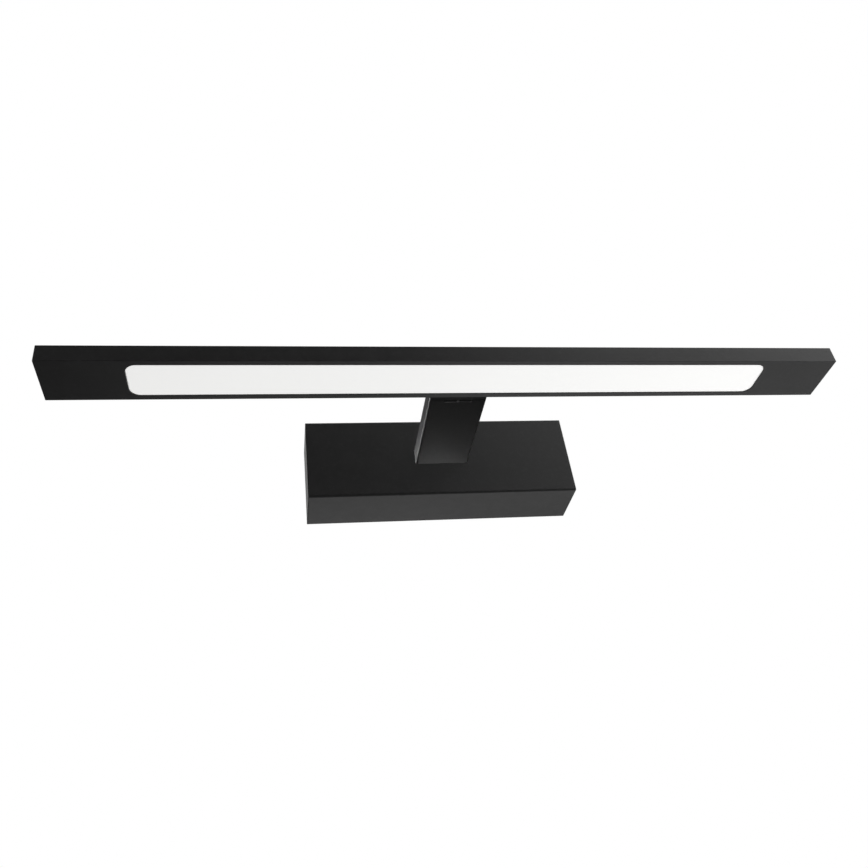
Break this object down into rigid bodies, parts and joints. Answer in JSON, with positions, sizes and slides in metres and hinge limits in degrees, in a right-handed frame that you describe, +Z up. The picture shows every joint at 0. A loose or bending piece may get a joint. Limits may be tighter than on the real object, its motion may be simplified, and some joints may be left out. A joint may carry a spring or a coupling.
{
  "type": "picture light",
  "caption": "Slim black linear picture light: a flat bar head with an opal diffuser underneath, on a flat arm from a rectangular wall box, tilting on a hidden friction hinge.",
  "frame": {"origin": "centre of the two wall screw holes, on the wall plane at the back of the bracket and wall box", "axes": "+X along the head, +Z up, +Y into the wall; the arm and head stand out along -Y and the light leaves the head along -Z at rest"},
  "size_m": [0.4, 0.118, 0.05],
  "materials": {
    "black_powder_coat": "fine-textured matte black powder coat",
    "black_screw": "blackened steel",
    "opal_acrylic": "opal, satin, evenly lit from behind",
    "zinc_steel": "bright zinc plate",
    "black_nylon": "turned, matte",
    "brass": "plain",
    "black_rubber": "matte",
    "white_plastic": "moulded, matte",
    "green_board": "solder mask",
    "yellow_tape": "taped winding",
    "blue_sleeve": "shrink sleeve",
    "brown_wire": "PVC insulation",
    "green_wire": "PVC insulation",
    "black_wire": "PVC insulation",
    "board_aluminium": "white solder mask on aluminium",
    "led_yellow": "phosphor",
    "grey_pad": "thermal pad"
  },
  "bodies": {
    "wall_mount": {"wall_bracket": "zinc_steel", "cable_grommet": "black_rubber", "earth_screw": "brass", "earth_ring": "zinc_steel", "earth_lead": "green_wire", "driver_case": "white_plastic", "driver_lid": "white_plastic", "driver_board": "green_board", "driver_transformer": "yellow_tape", "driver_capacitors": "blue_sleeve", "driver_screws": "zinc_steel", "terminal_block": "white_plastic", "terminal_clamps": "brass", "terminal_screws": "zinc_steel", "block_screws": "zinc_steel", "mains_leads": "brown_wire", "wall_box": "black_powder_coat", "box_screws": "black_screw", "arm_studs": "zinc_steel", "arm_plate": "zinc_steel", "arm_washers": "zinc_steel", "arm_nuts": "zinc_steel", "arm_tube": "black_powder_coat", "arm_lead": "black_wire", "hinge_fork": "black_powder_coat", "fork_screws": "black_screw", "hinge_pins": "black_screw", "friction_washers": "black_nylon"},
    "head": {"hinge_knuckle": "black_powder_coat", "knuckle_screws": "black_screw", "head_shell": "black_powder_coat", "head_cover": "black_powder_coat", "cover_screws": "black_screw", "diffuser": "opal_acrylic", "reflector": "white_plastic", "led_board": "board_aluminium", "leds": "led_yellow", "thermal_pad": "grey_pad", "board_screws": "zinc_steel", "board_connector": "white_plastic", "head_lead": "black_wire"}
  },
  "joints": [
    {"name": "head_tilt", "type": "hinge", "parent": "wall_mount", "child": "head", "pos_m": [0, -0.08695, -0.0026], "axis": [1, 0, 0], "range_deg": [0, 90]}
  ]
}
